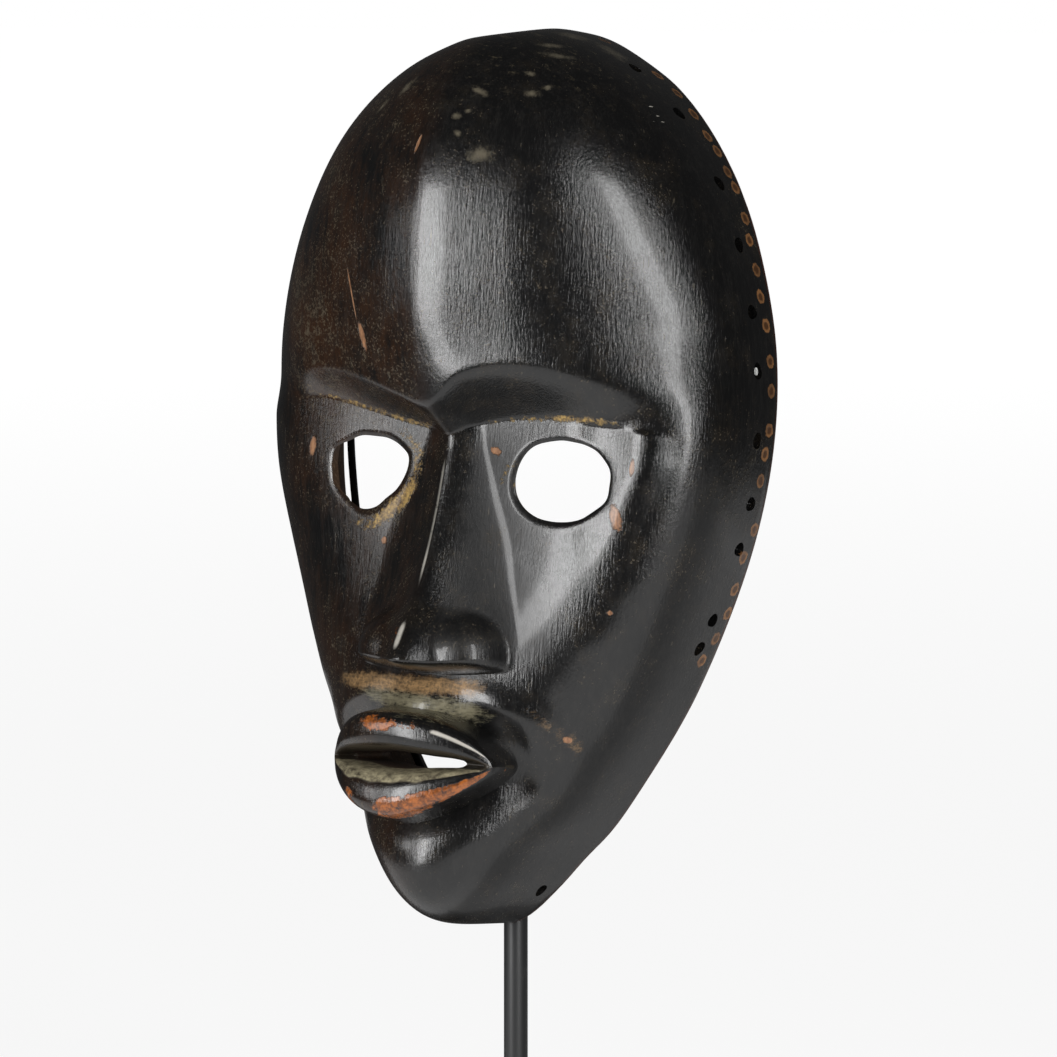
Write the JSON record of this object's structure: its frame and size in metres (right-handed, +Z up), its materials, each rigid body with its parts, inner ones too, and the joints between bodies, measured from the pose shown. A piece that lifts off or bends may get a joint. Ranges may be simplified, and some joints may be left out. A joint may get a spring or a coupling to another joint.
{
  "type": "carved wooden face mask on stand",
  "caption": "Hollow carved wooden face mask with pierced eyes and mouth slit, held by a bent wire on an upright rod with a flat foot.",
  "frame": {"origin": "on the table under the rod, at the middle of the foot's underside", "axes": "+Z up, -Y the way the face looks, +X to the right of someone who looks at the face"},
  "size_m": [0.1406, 0.128, 0.3305],
  "materials": {
    "carved_wood": "near-black glossy patina with brown, ochre and rust-coloured wear",
    "mount_steel": "satin black",
    "foot_steel": "satin black"
  },
  "bodies": {
    "root": {"mask": "carved_wood", "cradle": "mount_steel", "mount_rod": "mount_steel", "base": "foot_steel"}
  },
  "joints": []
}
